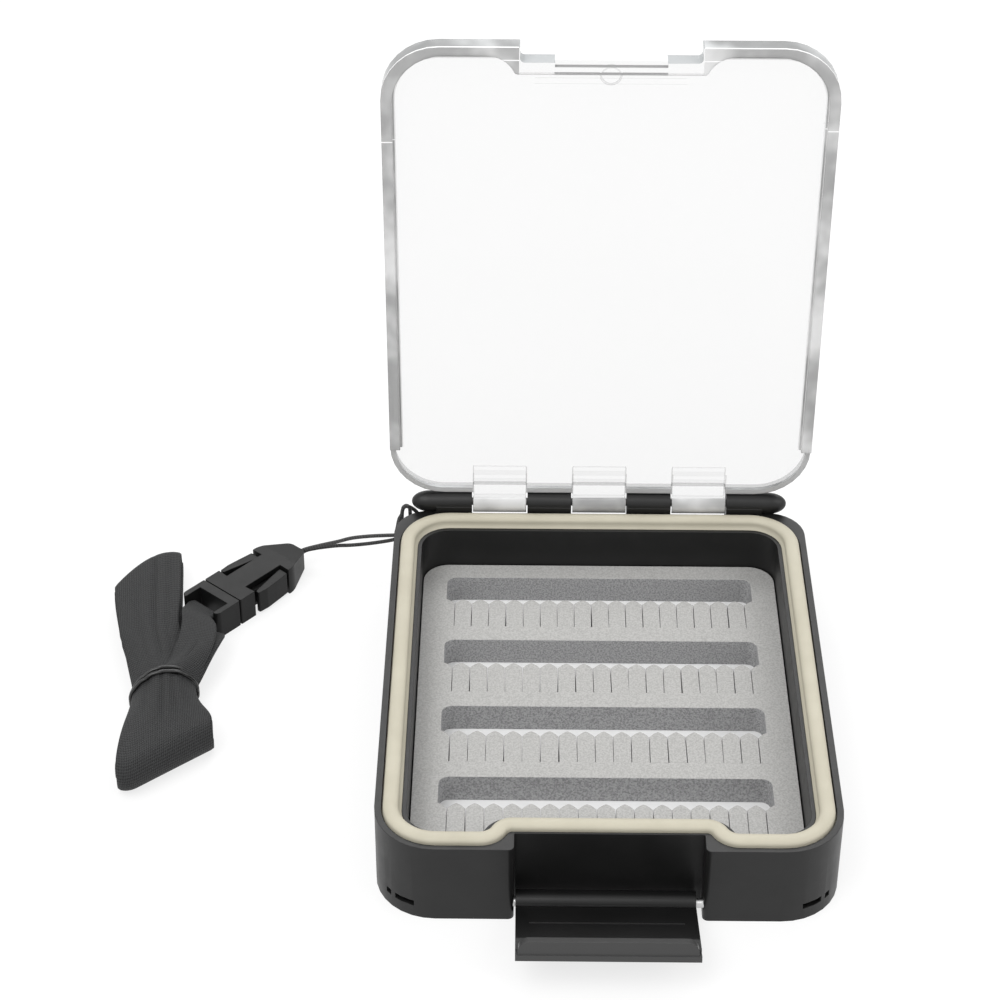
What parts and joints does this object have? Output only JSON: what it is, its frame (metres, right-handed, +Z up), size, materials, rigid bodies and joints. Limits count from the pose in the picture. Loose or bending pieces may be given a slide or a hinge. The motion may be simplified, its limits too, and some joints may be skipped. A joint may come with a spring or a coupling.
{
  "type": "fly box",
  "caption": "Small waterproof fly box: gasketed case with slit foam, clear hinged lid, pull-down latch, and a cord with a buckle and a folded neck strap.",
  "frame": {"origin": "centre of the case's underside", "axes": "+X to the right seen from the latch, +Y towards the hinge, +Z up"},
  "size_m": [0.1613, 0.1405, 0.1379],
  "materials": {
    "case_black": "satin moulded plastic",
    "gasket_cream": "soft seal",
    "backing_white": "matt sheet",
    "foam_grey": "fine closed-cell foam",
    "pin_steel": "drawn pin",
    "lid_clear": "clear moulded plastic",
    "latch_black": "satin moulded plastic",
    "cord_black": "thin braided cord",
    "buckle_grey": "satin moulded plastic",
    "strap_grey": "knitted strap",
    "tie_black": "thin glossy band"
  },
  "bodies": {
    "case": {"base_case": "case_black", "gasket_seal": "gasket_cream", "foam_backing": "backing_white", "foam_insert": "foam_grey", "hinge_pin": "pin_steel", "latch_pin": "pin_steel", "lanyard_cord": "cord_black", "buckle_socket": "buckle_grey"},
    "lid": {"lid": "lid_clear"},
    "latch": {"latch": "latch_black"},
    "plug": {"buckle_plug": "buckle_grey", "release_arm_left": "buckle_grey", "release_arm_right": "buckle_grey", "webbing_lead": "strap_grey", "webbing_hank": "strap_grey", "bundle_tie": "tie_black"}
  },
  "joints": [
    {"name": "lid_hinge", "type": "hinge", "parent": "case", "child": "lid", "pos_m": [0, 0.0587, 0.0209], "axis": [1, 0, 0], "range_deg": [0, 90]},
    {"name": "latch_hinge", "type": "hinge", "parent": "case", "child": "latch", "pos_m": [0, -0.0559, 0.0034], "axis": [-1, 0, 0], "range_deg": [0, 73]},
    {"name": "buckle_slide", "type": "slide", "parent": "case", "child": "plug", "axis": [-0.6561, -0.7547, 0], "range_m": [0, 0.015], "deforming": ["release_arm_left", "release_arm_right"]}
  ]
}
